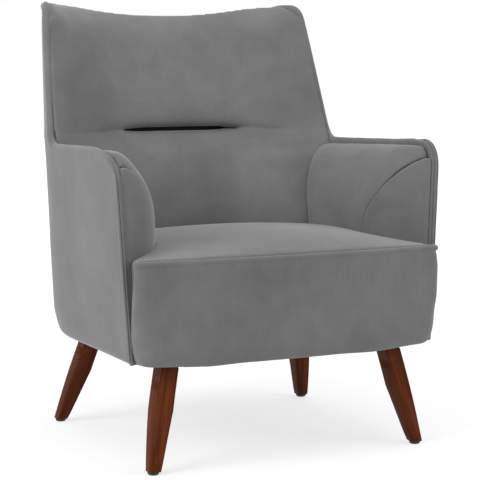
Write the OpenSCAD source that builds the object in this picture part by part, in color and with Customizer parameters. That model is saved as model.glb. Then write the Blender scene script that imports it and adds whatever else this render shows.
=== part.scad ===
// Accent armchair with tight upholstery on a wooden frame with four splayed legs.
// The origin is on the floor under the middle of the chair's box. The sitter faces -Y and +Z is up.
// Left and right are as seen from the front: left is -X.

/* [Overall] */
// Width over the arm tops
overall_width = 734; // [700:1:780]
// Depth from the front of the seat to the rear of the back
overall_depth = 732; // [700:1:780]
// Height of the back's top corners
overall_height = 934; // [900:1:980]

/* [Body outline] */
// Height of the body's underside above the floor
body_bottom = 209; // [190:1:235]
// Width of the body at its underside
base_width = 688; // [660:1:710]
// Height of the arm tops
arm_height = 639; // [615:1:660]
// How much lower the arm tops are at the wings
arm_dip = 13; // [0:1:20]
// How far each wing's outer line comes in from the arm top to the back's top
wing_draw_in = 17; // [5:1:30]
// Narrowing of each side towards its rear, as a slope
plan_taper = 0.05; // [0.02:0.01:0.08]
// Narrowing of each side towards its front, as a slope
front_taper = 0.08; // [0:0.02:0.14]
// How far the body is rounded in plan from its rear face
rear_round_depth = 301; // [250:1:330]
// Squareness of the rear corners in plan
rear_squareness = 4.6; // [4:0.2:7]
// Height where the outside back starts to lean
lean_height = 605; // [560:1:640]
// Lean of the outside back, as a slope
back_lean = 0.235; // [0.1:0.005:0.3]
// How far below the back's top corners its lean ends
lean_stop = 54; // [30:1:80]
// Rounding under the sides at the front
under_round_front = 24; // [14:1:40]
// Rounding under the body at the rear
under_round_rear = 16; // [4:1:40]
// How much lower the body's underside is at the rear
rear_sag = 8; // [0:0.5:10]

/* [Side outline] */
// How far the seat front stands forward of the arm rims
seat_nose = 48; // [40:1:60]
// How far the arm front leans back over its height
arm_front_lean = 12; // [0:1:20]
// Radius of the arm's top front corner
arm_corner_r = 60; // [45:1:80]
// Radius of the inside corner between arm and wing
crotch_r = 40; // [15:1:50]
// Distance of the wing's foot from the body's rear
wing_foot = 236; // [200:1:260]
// Slope of the wing's front line
wing_slope = 0.35; // [0.2:0.01:0.45]
// Radius of the wing's top corner
wing_corner_r = 46; // [30:1:60]

/* [Covers] */
// Thickness of the padded outer covers
cover_t = 14; // [10:1:20]
// Width of the rolled rim
rim_w = 14; // [10:1:18]
// Distance between the arm pads at the seat
seat_clear_width = 476; // [440:1:500]
// Height of the arm pads' widest line
pad_base_height = 447; // [430:1:470]
// How far back the arm pads' front corner is rounded
pad_front_round = 111; // [80:1:130]
// How far the pads' faces stand behind the front of the rims
facing_setback = 18; // [18:1:32]
// Thickness of the arm front facings
facing_t = 10; // [6:1:14]

/* [Seat] */
// Height of the seat's front edge
seat_height = 421; // [400:1:440]
// Rise of the seat's crown over its front edge
seat_crown = 36; // [20:1:50]
// Radius of the welt cord
welt_r = 5; // [3:0.5:6]
// Half-way bow of the seat front in plan
seat_bow = 12; // [4:1:20]
// Radius of the seat front's upright corners
seat_corner_r = 30; // [18:1:32]
// Height over which the seat front's sides draw in under the chair
seat_under_h = 116; // [60:1:130]
// How far the seat front's sides draw in under the chair
seat_under_in = 44; // [20:1:60]

/* [Back] */
// Height of the seam between the two back pads
seam_height = 650; // [638:1:665]
// How much lower the back's top edge is in the middle
top_dip = 29; // [15:1:40]
// How much deeper the back is in the middle, at the seam
back_hollow = 76; // [50:1:85]
// How far the upper pad stands forward over the lower one
slit_overhang = 9; // [5:1:14]
// How far the slit's lower edge dips under the seam
slit_dip = 6; // [3:0.5:9]
// How far the slit's upper edge rises over the seam
slit_rise = 2; // [1:0.5:4]
// Half the width of the slit, without its ends
slit_half = 150; // [120:5:165]
// Radius of the back's top edge
top_roll_r = 24; // [16:1:30]

/* [Legs] */
// Distance between the feet, side to side, at the front
front_feet_width = 598; // [540:1:620]
// Distance between the feet, side to side, at the rear
rear_feet_width = 609; // [540:1:620]
// Distance from the front feet to the rear feet
feet_depth = 526; // [480:1:540]
// Distance from the body's front to the front feet
front_feet_setback = 40; // [30:1:70]
// Distance between the leg tops, side to side
leg_tops_width = 506; // [480:1:520]
// How far the front legs reach forward
front_splay = 40; // [20:1:50]
// How far the rear legs reach back
rear_splay = 72; // [40:1:85]
// Width of a leg's square section at the top
leg_w = 38; // [30:1:42]
// Width of a leg's section at the foot
foot_w = 23; // [18:1:26]
// How far a leg swells outwards at half its height
leg_swell = 2.5; // [0:0.5:5]
// Rounding of a leg's ridges
leg_ridge_r = 6; // [3:0.5:8]
// Height above the floor where a leg starts to taper
taper_height = 122; // [80:1:150]
// Radius of a glide
glide_r = 12; // [9:0.5:13]
// Height of a glide
glide_h = 6; // [5:0.5:9]

/* [Frame] */
// Thickness of the rails
rail_t = 22; // [18:1:26]
// Height of the seat rails
rail_h = 70; // [55:1:80]
// Height of the seat rails' lower edge above the body's underside
rail_lift = 28; // [24:1:36]
// Thickness of the moulded plywood sides
ply_t = 12; // [9:1:15]
// Width and depth of a back post
post_w = 30; // [24:1:34]
// Distance from the arm tops' outer line to each back post
post_inset = 167; // [150:1:185]
// Height of the lower and middle back rails
back_rail_h = 45; // [35:1:55]
// Height of the top back rail
top_rail_h = 60; // [45:1:70]
// Height of the corner blocks
block_h = 50; // [40:1:60]
// Radius of the leg bolts
bolt_r = 4; // [3:0.5:5]
// Thickness of the seat springs' wire
wire_t = 4; // [3:0.5:5]
// Number of seat springs
spring_count = 5; // [4:1:6]
// Thickness of the back webbing
web_t = 2; // [1:0.5:3]
// Thickness of the dust cover
dust_t = 1.5; // [1:0.5:2]

/* [Fit] */
// Clearance between pieces that seat on each other
fit = 0.3; // [0.2:0.05:0.5]

/* [Hidden] */

fabric_colour = [0.46, 0.46, 0.46];
shade_colour = [0.16, 0.16, 0.17];
beech_colour = [0.80, 0.66, 0.47];
ply_colour = [0.74, 0.58, 0.40];
walnut_colour = [0.42, 0.20, 0.11];
steel_colour = [0.70, 0.71, 0.73];
black_colour = [0.04, 0.04, 0.04];

lean_top = overall_height - lean_stop;
front_y = -overall_depth / 2;
rear_y = overall_depth / 2;
arm_half = overall_width / 2;
base_half = base_width / 2;
seat_half = seat_clear_width / 2;

// Small helpers.
function mix(a, b, t) = a + (b - a) * t;
function clamp(v, low, high) = min(max(v, low), high);
function ease(t) = let (c = clamp(t, 0, 1)) c * c * (3 - 2 * c);
function unit(v) = v / norm(v);
// How far a rounding of radius r draws a face in at height h above the edge that it rounds.
function draw_in(h, r) = h >= r ? 0 : r - sqrt(r * r - (r - max(h, 0)) * (r - max(h, 0)));

// Points of an arc of radius r in the corner at b, between the directions to a and c.
function corner_arc(a, b, c, r, n) =
    let (
        u = unit(a - b),
        w = unit(c - b),
        half = acos(u * w) / 2,
        centre = b + unit(u + w) * r / sin(half),
        s = b + u * r / tan(half) - centre,
        e = b + w * r / tan(half) - centre,
        sweep = 180 - 2 * half
    )
    [for (i = [0:n]) centre + (s * sin((1 - i / n) * sweep) + e * sin(i / n * sweep)) / sin(sweep)];

// Points between a and b, without either end.
function between(a, b, n) = [for (i = [1:n]) mix(a, b, i / (n + 1))];

// Direction of a path at its point i, from its neighbours.
function heading(path, i) = unit(path[min(i + 1, len(path) - 1)] - path[max(i - 1, 0)]);

// A path in the YZ plane moved sideways, towards the body.
function inset_path(path, d) =
    [for (i = [0:len(path) - 1]) let (t = heading(path, i)) path[i] + d * [t[1], -t[0]]];

function path_length(path, i) = i == 0 ? 0 : path_length(path, i - 1) + norm(path[i] - path[i - 1]);

// A closed solid between two grids of points that have the same rows and columns.
module slab(outer, inner) {
    rows = len(outer);
    cols = len(outer[0]);
    size = rows * cols;
    points = concat([for (row = outer) each row], [for (row = inner) each row]);
    outer_faces = [
        for (i = [0:rows - 2], j = [0:cols - 2])
            let (p = i * cols + j)
            each [[p, p + cols, p + 1], [p + 1, p + cols, p + cols + 1]]
    ];
    inner_faces = [for (f = outer_faces) [f[0] + size, f[2] + size, f[1] + size]];
    // The border, once round the grid, the same way as the outer faces.
    edge = concat(
        [for (j = [cols - 1:-1:1]) j],
        [for (i = [0:rows - 2]) i * cols],
        [for (j = [0:cols - 2]) (rows - 1) * cols + j],
        [for (i = [rows - 1:-1:1]) i * cols + cols - 1]
    );
    edge_faces = [
        for (k = [0:len(edge) - 1])
            let (a = edge[k], b = edge[(k + 1) % len(edge)])
            each [[b, a, a + size], [b, a + size, b + size]]
    ];
    polyhedron(points, concat(outer_faces, inner_faces, edge_faces));
}

// A closed solid through rings of points, with flat ends.
module loft(rings) {
    n = len(rings[0]);
    last = len(rings) - 1;
    sides = [
        for (i = [0:last - 1], j = [0:n - 1])
            let (a = i * n + j, b = i * n + (j + 1) % n)
            each [[a, a + n, b], [b, a + n, b + n]]
    ];
    bottom = [for (j = [1:n - 2]) [0, j, j + 1]];
    top = [for (j = [1:n - 2]) [last * n, last * n + j + 1, last * n + j]];
    polyhedron([for (r = rings) each r], concat(sides, bottom, top));
}

// The body's outer form.
// Half width of the body at height z, on the line where the arm's corner starts.
function half_width(z) =
    z < arm_height
        ? mix(base_half, arm_half, (z - body_bottom) / (arm_height - body_bottom))
        : arm_half - wing_draw_in * (z - arm_height) / (overall_height - arm_height);
taper_y = front_y + seat_nose + arm_front_lean + arm_corner_r * 2 / 3;

// Rear face of the body in its middle, at height z.
lean_blend = 60;
function soft_rise(z) =
    z < lean_height - lean_blend ? 0
    : z < lean_height + lean_blend ? pow(z - lean_height + lean_blend, 2) / (4 * lean_blend)
    : z - lean_height;
function rear_face(z) = rear_y - back_lean * (lean_top - lean_height - soft_rise(min(z, lean_top)));
function round_start(z) = rear_face(z) - rear_round_depth;
function superround(r) = pow(1 - pow(abs(r), rear_squareness), 1 / rear_squareness);

// Where the side covers end and the outside back begins, as a share of the rounding.
corner_share = pow(0.5, 1 / rear_squareness);

// Rounding under the body, from the front to the rear.
function under_r(y) = mix(under_round_front, under_round_rear, ease((y - front_y) / overall_depth));

// Half width at height z and distance y, before the rounding of the rear.
function side_half(y, z) =
    half_width(z) - draw_in(z - body_bottom, under_r(y))
    - (y > taper_y ? plan_taper * (y - taper_y) : front_taper * (taper_y - y));

// How far the lower edge hangs under height z at distance y.
sag_start = 217;
sag_length = 350;
sag_height = 150;
function sag(y, z) =
    rear_sag * ease((y - front_y - sag_start) / sag_length) * (1 - ease((z - body_bottom) / sag_height));

// A point of the side at height z and distance y, and depth t under the surface.
function side_point(y, z, t) =
    let (
        start = round_start(z),
        share = (y - start) / rear_round_depth,
        w = side_half(y, z)
    )
    share <= 0
        ? [w - t, y, z - sag(y, z)]
        : [
            (w - t) * superround(min(share, 1)),
            start + share * (rear_round_depth - t - share * draw_in(z - body_bottom, under_round_rear)),
            z - sag(y, z)
        ];

// Distance y where the side ends at height z, at a share of the rounding.
function side_end(z, share) = round_start(z) + share * rear_round_depth;

// A point of the rear at height z, with q from -corner_share to corner_share, and depth t.
function rear_point(q, z, t) =
    let (
        y = side_end(z, corner_share),
        w = side_half(y, z),
        d = rear_round_depth - draw_in(z - body_bottom, under_round_rear) * superround(q)
    )
    [q * (w - t), round_start(z) + (d - t) * superround(q), z - sag(y, z)];

// Outline of arm and wing from the side, as [y, z]: the outermost line of the rim.
rim_y = front_y + seat_nose;
wing_foot_y = rear_y - wing_foot;
wing_top_y = wing_foot_y + wing_slope * (overall_height - arm_height);
outline_end = side_end(overall_height - top_roll_r, corner_share) - 2 * fit;
foot_lift = 8;
front_foot = [rim_y, body_bottom + foot_lift];
arm_front = [rim_y + arm_front_lean, arm_height];
// Distance of the rim's front at height z.
function rim_front(z) = mix(rim_y, arm_front[0], clamp((z - front_foot[1]) / (arm_height - front_foot[1]), 0, 1));
crotch = [wing_foot_y, arm_height - arm_dip];
wing_head = [wing_top_y, overall_height];
tail_head = [outline_end, overall_height];
tail_foot = [outline_end, overall_height - top_roll_r * 1.2];
arm_corner = corner_arc(front_foot, arm_front, crotch, arm_corner_r, 7);
crotch_corner = corner_arc(arm_front, crotch, wing_head, crotch_r, 4);
wing_corner = corner_arc(crotch, wing_head, tail_head, wing_corner_r, 5);
tail_corner = corner_arc(wing_head, tail_head, tail_foot, top_roll_r, 3);
under_steps = [0.012, 0.035, 0.08, 0.2, 0.55];
outline = concat(
    [front_foot],
    [for (t = under_steps) mix(front_foot, arm_corner[0], t)],
    arm_corner,
    between(arm_corner[7], crotch_corner[0], 3),
    crotch_corner,
    between(crotch_corner[4], wing_corner[0], 3),
    wing_corner,
    tail_corner
);
outline_length = path_length(outline, len(outline) - 1);

// A grid of the side's surface: rows fan from the outline, moved in by edge, to the rear line.
function side_grid(edge, low, depth, end_share, cols) =
    let (path = inset_path(outline, edge), top = path[len(path) - 1][1] - edge / rim_w)
    [
        for (i = [0:len(path) - 1])
            let (
                share = path_length(outline, i) / outline_length,
                rear_z = mix(body_bottom + low, top, share),
                front_z = clamp(path[i][1], body_bottom + low + share, overall_height - edge),
                end_y = side_end(rear_z, end_share),
                front_end = min(path[i][0], end_y - 1)
            )
            [
                for (j = [0:cols])
                    let (t = 1 - pow(1 - j / cols, 1.25))
                    side_point(mix(front_end, end_y, t), mix(front_z, rear_z, t), depth)
            ]
    ];

module right_side(edge, low, depth, thickness, end_share, cols) {
    slab(
        side_grid(edge, low, depth, end_share, cols),
        side_grid(edge, low, depth + thickness, end_share, cols)
    );
}

module outer_side() {
    color(fabric_colour) right_side(rim_w + fit, 0, 0, cover_t, corner_share - fit / arm_half, 5);
}

// Moulded plywood, behind the outer cover and the rim.
ply_edge = rim_w + 30;
ply_share = 0.78;
module side_frame() {
    color(ply_colour) right_side(ply_edge, rail_lift, cover_t + fit, ply_t, ply_share, 3);
}

// The rim: a D section that faces outwards all along the outline and is smaller at both ends.
rim_r = rim_w / 2;
rim_section = [[-1, -1], [-1, 0], for (a = [150:-40:30]) [cos(a), sin(a)], [1, 0], [1, -1]];
rim_end = 0.6;
rim_end_length = 70;
// Below this height the rim no longer follows the rounding under the body.
rim_round_z = body_bottom + under_round_front * 0.56;
function rim_share(i) =
    let (d = path_length(outline, i))
    mix(rim_end, 1, ease(min(d, outline_length - d) / rim_end_length));
module rim() {
    color(fabric_colour)
        loft([
            for (i = [0:len(outline) - 1])
                let (
                    t = heading(outline, i),
                    r = rim_r * rim_share(i),
                    p = outline[i] + r * [t[1], -t[0]],
                    x = side_point(p[0], max(p[1], rim_round_z), 0)[0] - r
                )
                [for (s = rim_section) [x + r * s[0], p[0] - r * s[1] * t[1], p[1] + r * s[1] * t[0]]]
        ]);
}

// The outside back, up to the ridge along the back's top.
function ridge_z(x) =
    overall_height - 1 - top_dip * (1 - pow(min(abs(x) / ridge_half, 1), 2.5));
ridge_half = side_point(side_end(overall_height, corner_share) - top_roll_r, overall_height, 0)[0];
back_rows = [0, 0.01, 0.03, 0.08, 0.2, 0.35, 0.5, 0.6, 0.7, 0.85, 0.93, 0.965, 0.985, 0.996, 1];
back_cols = 14;
// The top corners stand back from the rims' ends.
corner_gap = 7;
function back_reach(z) =
    corner_share - (fit + corner_gap * ease((z - overall_height + 3 * top_roll_r) / (2 * top_roll_r))) / arm_half;
function back_grid(depth) = [
    for (s = back_rows)
        [
            for (j = [0:back_cols])
                let (
                    side = 2 * j / back_cols - 1,
                    top = ridge_z(side * corner_share * side_half(side_end(lean_top, corner_share), overall_height)) - depth,
                    z = mix(body_bottom, top, s),
                    p = rear_point(back_reach(z) * side, z, depth)
                )
                [p[0], p[1] - draw_in(top - z, top_roll_r), p[2]]
        ]
];
module outside_back() {
    color(fabric_colour) slab(back_grid(cover_t), back_grid(0));
}

// Arm pads. The pad swells from the rim's inner seam to its widest line at the seat.
pad_top = arm_height - rim_w - 1;
pad_low = body_bottom + rail_lift + rail_h + 25;
pad_front_y = rim_y + facing_setback;
pad_round_y = pad_front_y + pad_front_round;
facing_top = arm_height - 40;
function pad_rise(z) = clamp((z - pad_base_height) / (pad_top + 1 - pad_base_height), 0, 1);
function pad_swell(z) = sqrt(1 - pow(pad_rise(z), 2));
function pad_outer_x(y, z) = side_point(y, z, 0)[0] - max(cover_t, rim_w) - fit;
function pad_inner_x(y, z) =
    let (outer = pad_outer_x(y, z))
    mix(outer, min(seat_half, outer), pad_swell(z));
// The outline's front line at height z, as a step back from the foot of the arm.
function arm_step(z) =
    let (straight = arm_corner[0][1])
    z < straight
        ? (arm_corner[0][0] - rim_y) * (z - body_bottom) / (straight - body_bottom)
        : arm_corner[0][0] - rim_y + draw_in(arm_height - z, arm_corner_r) * 0.8;
// Roundness of the pad's front corner in plan: flatter at the seat, fuller higher up.
function corner_power(z) = mix(1.5, 2, ease((z - pad_base_height - 15) / 80));
// A point round the pad's front corner: turn 0 faces forward and 90 faces the seat.
function pad_corner(turn, z, depth) =
    let (
        front = min(pad_front_y + arm_step(z), pad_round_y - 20),
        ox = pad_outer_x(pad_front_y, z),
        a = max(ox - pad_inner_x(pad_round_y, z) - depth, 2),
        b = pad_round_y - front - depth,
        n = corner_power(z)
    )
    [ox - a * pow(sin(turn), 2 / n), pad_round_y - b * pow(abs(cos(turn)), 2 / n), z];
// The curved seam between pad and facing, as the turn at height z.
function seam_turn(z) =
    let (
        up = clamp((z - pad_base_height) / (facing_top - pad_base_height), 0, 1),
        across = 0.98 * pow(1 - pow(up, 2.2), 0.3)
    )
    max(asin(pow(across, corner_power(z) / 2)), 9);

// The seam between the side and the back pads: up the arm pad, then along the wing.
back_foot_z = pad_base_height - 7;
side_line = [
    [back_foot_z, wing_foot_y - 89],
    [mix(back_foot_z, arm_height, 0.63), wing_foot_y - 44],
    [arm_height - 11, wing_foot_y - 12],
    [arm_height + 15, wing_foot_y + 5],
    [overall_height - wing_corner_r, wing_top_y - wing_slope * wing_corner_r + 4],
    [overall_height - wing_corner_r / 2, wing_top_y + 8],
    [overall_height - wing_corner_r / 5, wing_top_y + 26],
    [overall_height, wing_top_y + 48]
];
function back_side_y(z) = lookup(z, side_line);

pad_rows = concat(
    [pad_low, mix(pad_low, pad_base_height, 0.6), pad_base_height],
    [for (t = [0.22, 0.42, 0.58, 0.72, 0.83, 0.92]) mix(pad_base_height, facing_top, t)],
    [facing_top - fit, facing_top + fit],
    [for (t = [0.4, 0.72, 0.92, 1]) mix(facing_top, pad_top, t)]
);
facing_rows = [for (z = pad_rows) if (z < facing_top) z];
// The pad's top follows the arm's fall towards the wing.
function pad_fall(y, z) = arm_dip * pad_rise(z) * clamp((y - pad_round_y) / (wing_foot_y - pad_round_y), 0, 1);
function pad_end_y(z) = back_side_y(max(z, back_foot_z)) - fit;
function pad_row_outer(z) =
    let (seam = seam_turn(z), under = z < facing_top ? facing_t + fit : 0)
    concat(
        [for (k = [0:3]) pad_corner(seam * k / 3, z, under)],
        [for (k = [0:3]) pad_corner(mix(seam + 0.6, 90, k / 3), z, 0)],
        [
            for (k = [1:3])
                let (y = mix(pad_round_y, pad_end_y(z), k / 3))
                [pad_inner_x(y, z), y, z - pad_fall(y, z)]
        ]
    );
function pad_row_inner(z) =
    let (
        back = z < facing_top ? ply_t + fit : 0,
        start_y = pad_front_y + facing_t + 2 + arm_step(z)
    )
    [
        for (k = [0:10])
            let (y = mix(start_y, pad_end_y(z), k / 10))
            [pad_outer_x(y, z) - back, y, z - pad_fall(y, z)]
    ];
module arm_pad() {
    color(fabric_colour)
        slab([for (z = pad_rows) pad_row_inner(z)], [for (z = pad_rows) pad_row_outer(z)]);
}
function facing_grid(depth) =
    [for (z = facing_rows) [for (k = [0:4]) pad_corner(seam_turn(z) * k / 4, z, depth)]];
module arm_facing() {
    color(fabric_colour) slab(facing_grid(facing_t), facing_grid(0));
}

// Seat front border.
// The border's rear plane lies just in front of the rims.
function border_back(z) = rim_front(z) - 1;
border_back_y = border_back(body_bottom);
border_low = body_bottom;
border_top = seat_height - 2 * welt_r + 1;
border_rows = [0, 2, 7, 15, 27, 45, 75, seat_under_h, 150];
seat_corner_depth = border_back_y - front_y - seat_bow;
// Outline of the seat front in plan: half its width, how far it stands behind the front, and its corners.
function border_plan(half, behind, r, back) =
    let (
        front = front_y + seat_bow + behind,
        rl = [-half, back],
        fl = [-half, front],
        fr = [half, front],
        rr = [half, back],
        left = corner_arc(rl, fl, fr, r, 5),
        right = corner_arc(fl, fr, rr, r, 5)
    )
    [
        for (p = concat([rl], left, between(left[5], right[0], 5), right, [rr]))
            p - [0, seat_bow * (1 - pow(p[0] / half, 2))]
    ];
border_taper = 5;
border_half_top = base_half + 0.5;
// Share of the drawing in that reaches back to the arms.
border_side_share = 0.4;
// Half width of the seat front at height z: front is 0 at the arms and 1 at the front face.
function border_half(z, front) =
    let (down = clamp(1 - (z - body_bottom) / seat_under_h, 0, 1))
    border_half_top - border_taper * (1 - (z - body_bottom) / (seat_height - body_bottom))
    - seat_under_in * mix(border_side_share, 1, front) * (1 - sqrt(1 - down * down));
function border_in(y, z) =
    border_half(z, clamp((border_back_y - y) / seat_corner_depth, 0, 1)) / border_half(z, 0);
// The lower edge rises towards the corners.
border_lift = 11;
function border_rise(x, z) =
    border_lift * pow(max(2 * abs(x) / border_half(z, 0) - 1, 0), 2)
    * clamp(1 - (z - border_low) / seat_under_h, 0, 1);
border_roll = 45;
module seat_front_border() {
    heights = concat([for (h = border_rows) border_low + h], [border_top]);
    outer = [
        for (z = heights)
            let (
                under = draw_in(z - border_low, border_roll) / 2,
                r = min(seat_corner_r, seat_corner_depth - 3) - under
            )
            [
                for (p = border_plan(border_half(z, 0), under, r, border_back(z)))
                    [p[0] * border_in(p[1], z), p[1], z + border_rise(p[0], z)]
            ]
    ];
    n = len(outer[0]) - 1;
    inner = [
        for (row = outer)
            [for (k = [0:n]) [mix(row[0][0] + 3, row[n][0] - 3, k / n), row[0][1] + 0.5, row[0][2]]]
    ];
    color(fabric_colour) slab(outer, inner);
}

// Welt along the top of the border, ending in a nub at each arm.
welt_z = border_top + welt_r + fit;
nub_steps = [0, welt_r * 0.3, welt_r];
module seat_welt() {
    half = border_half(border_top, 0) - welt_r + 1;
    plan = border_plan(half, welt_r, seat_corner_depth * 0.55, border_back_y);
    last = len(plan) - 1;
    left_end = [for (d = nub_steps) plan[0] - [0, d]];
    right_end = [for (k = [2:-1:0]) plan[last] - [0, nub_steps[k]]];
    path = concat(left_end, [for (i = [1:last - 1]) plan[i]], right_end);
    n = len(path) - 1;
    color(fabric_colour)
        loft([
            for (i = [0:n])
                let (
                    t = heading(path, i),
                    side = [-t[1], t[0], 0],
                    r = welt_r * [0.45, 0.8, 1][min(i, n - i, 2)]
                )
                [for (a = [0:45:315]) [path[i][0], path[i][1], welt_z] + r * (side * cos(a) + [0, 0, sin(a)])]
        ]);
}

// Seat cushion: a nose in front of the arms, and a crowned deck between the arm pads.
nose_y = front_y + 2 * welt_r + 2;
nose_back_y = border_back(seat_height);
nose_half = border_half_top - welt_r - 1;
// Half the deck's width at distance y, at height z.
function deck_half(y, z) =
    y < nose_back_y ? nose_half
    : y < pad_front_y - fit ? side_point(y, z, 0)[0] - rim_w - 2 * fit
    : y < pad_round_y
        ? let (
            n = corner_power(z),
            back = clamp((pad_round_y - y) / (pad_round_y - pad_front_y - arm_step(z)), 0, 1),
            ox = pad_outer_x(pad_front_y, z)
        )
        ox - (ox - seat_half) * pow(1 - pow(back, n), 1 / n) - fit
        : seat_half - fit;
// The deck rises from the nose to its crown, and falls to the back, to the sides and at the arm fronts.
crown_y = front_y + overall_depth * 0.32;
deck_edge = 3;
deck_side_fall = 0.9;
deck_rear_fall = 0.95;
deck_tuck = 5;
function deck_z(x, y) =
    let (
        rise = y < crown_y
            ? sin(90 * max(y - nose_y, 0) / (crown_y - nose_y))
            : 1 - deck_rear_fall * pow((y - crown_y) / (back_front_y(0, back_foot_z) - crown_y), 2),
        side = min(abs(x) / base_half, 1),
        across = 1 - deck_side_fall * side * side
    )
    seat_height + deck_edge - deck_tuck * pow(side, 4)
    + (seat_crown - deck_edge) * pow(max(rise, 0), 0.8) * across;
deck_rows = concat(
    [nose_back_y - fit, nose_back_y + 2 * fit, pad_front_y - 2 * fit],
    [for (d = [0.07, 0.2, 0.42, 0.7, 1]) pad_front_y + d * pad_front_round]
);
// Behind the arms' front corners the rows spread back to the foot of the inside back.
deck_spread = [0.2, 0.42, 0.65, 0.85, 1];
deck_cols = 12;
cushion_low = body_bottom + rail_lift + rail_h + wire_t + 2 * fit;
// The nose, moved back by d, follows the welt's line.
function nose_row(d, z) = [
    for (j = [0:deck_cols])
        let (
            side = 2 * j / deck_cols - 1,
            x = side * nose_half,
            y = nose_y + seat_bow * side * side + draw_in(nose_half - abs(x), seat_corner_r) * 0.6
        )
        [x, mix(y, nose_back_y - 2 * fit, d), z]
];
function deck_row(y, z) = [for (j = [0:deck_cols]) [deck_half(y, z) * (2 * j / deck_cols - 1), y, z]];
function spread_row(s, z) = [
    for (j = [0:deck_cols])
        let (x = (seat_half - fit) * (2 * j / deck_cols - 1))
        [x, mix(pad_round_y, back_front_y(x, back_foot_z) - fit, s), z]
];
function deck_plan(nose_z, z) =
    concat(
        [for (d = [0, 0.3]) nose_row(d, nose_z)],
        [for (y = deck_rows) deck_row(y, y < nose_back_y ? nose_z : z)],
        [for (s = deck_spread) spread_row(s, z)]
    );
module seat_cushion() {
    top = [for (row = deck_plan(seat_height, seat_height)) [for (p = row) [p[0], p[1], deck_z(p[0], p[1])]]];
    color(fabric_colour) slab(top, deck_plan(border_top + fit, cushion_low));
}

// Inside back. Its surface is hollow in plan, so that the wings come forward.
back_gap = 8;
post_front_y = rear_face(body_bottom) - cover_t - back_gap - post_w;
function post_front(z) = post_front_y + rear_face(z) - rear_face(body_bottom);
foot_hollow = 19;
function hollow(z) = back_hollow + foot_hollow * (1 - ease((z - back_foot_z) / (seam_height - back_foot_z)));
function back_reach_x(z) =
    pad_outer_x(back_side_y(max(z, back_foot_z)), z) - (z < facing_top ? ply_t + 2 * fit : 0);
// Distance of the back's surface. The flat middle is narrower at the seat.
hollow_flat = 120;
function back_front_y(x, z) =
    let (
        low_z = max(z, back_foot_z),
        reach = z < facing_top ? pad_inner_x(back_side_y(low_z), z) : back_reach_x(z),
        flat_half = mix(seat_half / 3, hollow_flat, ease((z - back_foot_z) / (seam_height - back_foot_z))),
        t = ease((abs(x) - flat_half) / (reach - flat_half))
    )
    back_side_y(low_z) + hollow(z) * (1 - t);
function in_slit(x) = 1 - ease((abs(x) - hollow_flat) / 90);
slit_end = 60;
function in_gap(x) = 1 - ease((abs(x) - slit_half) / slit_end);
back_cols_x = 14;
function back_x(j, z) = back_reach_x(z) * (2 * j / back_cols_x - 1);
// The hidden rear of a pad lies on the webbing and is narrower than its face. Its side edges are as thick as a cover.
rear_share = 0.78;
module back_pad(front_rows, rear_z) {
    rear = [
        for (i = [0:len(front_rows) - 1])
            let (
                middle = front_rows[i][back_cols_x / 2][2],
                rear_y = post_front(rear_z[i]) - web_t * 2 - fit
            )
            [
                for (j = [0:back_cols_x])
                    let (p = front_rows[i][j])
                    j % back_cols_x == 0
                        ? [p[0], min(p[1] + cover_t, rear_y), p[2]]
                        : [p[0] * rear_share, rear_y, rear_z[i] + p[2] - middle]
            ]
    ];
    color(fabric_colour) slab(front_rows, rear);
}
lip_r = 12;
lower_rows = concat(
    [pad_low, mix(pad_low, back_foot_z, 0.6), back_foot_z],
    [for (t = [0.25, 0.5, 0.72]) mix(back_foot_z, seam_height, t)],
    [facing_top + 1, seam_height - lip_r, seam_height - lip_r / 4, seam_height]
);
// The pad's top edge dips in the slit.
function dipped(x, z) =
    z - slit_dip * in_gap(x) * ease((z - facing_top) / (seam_height - facing_top));
module inside_back_lower() {
    front = [
        for (z = lower_rows)
            [
                for (j = [0:back_cols_x])
                    let (
                        x = back_x(j, z),
                        tuck = draw_in(seam_height - z, lip_r) / 2,
                        behind = slit_overhang / 2 * ease((z - seam_height + 120) / 100)
                    )
                    [x, back_front_y(x, z) + (tuck + behind) * in_slit(x), dipped(x, z)]
            ]
    ];
    back_pad(front, [for (z = lower_rows) dipped(0, z)]);
}
upper_share = [0, 0.015, 0.045, 0.12, 0.25, 0.42, 0.6, 0.76, 0.86, 0.92, 0.965, 0.99, 1];
top_roll_in = 60;
upper_low = seam_height + 2 * fit;
function upper_foot(x) = upper_low + slit_rise * in_gap(x);
// A point of the upper pad's surface: column j of the row at share s of its height.
function upper_point(j, s) =
    let (
        x = back_x(j, mix(upper_low, overall_height - wing_corner_r, s)),
        top = ridge_z(x * ridge_half / (back_reach_x(overall_height) + rim_w)) - 1,
        z = mix(upper_foot(x), top, s),
        belly = slit_overhang * in_slit(x) * ease((z - upper_low) / 25) * ease((0.5 - s) / 0.35),
        start = back_front_y(x, z) + draw_in(z - upper_foot(x), lip_r) * in_slit(x) - belly,
        ridge = rear_point(x / arm_half, top, 0)[1] - top_roll_r - fit,
        y = mix(start, ridge, draw_in(top - z, top_roll_in) / top_roll_in),
        narrow = min(1, pad_outer_x(max(y, 0), z) / back_reach_x(z))
    )
    [x * narrow, y, z];
module inside_back_upper() {
    front = [for (s = upper_share) [for (j = [0:back_cols_x]) upper_point(j, s)]];
    rear_z = [for (s = upper_share) mix(upper_foot(0), post_high - 1, s)];
    back_pad(front, rear_z);
}

// Back posts and rails.
post_low = body_bottom + rail_lift;
post_high = overall_height - top_dip - 30;
post_x = arm_half - post_inset - post_w;
post_gap = 2 * post_x;
module back_post() {
    color(beech_colour)
        translate([post_x, 0, 0])
            rotate([90, 0, 90])
                linear_extrude(post_w)
                    polygon(concat(
                        [for (z = [post_low, lean_height - 50, lean_height, lean_height + 50, post_high])
                            [post_front(z), z]],
                        [for (z = [post_high, lean_height + 50, lean_height, lean_height - 50, post_low])
                            [post_front(z) + post_w, z]]
                    ));
}
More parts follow.
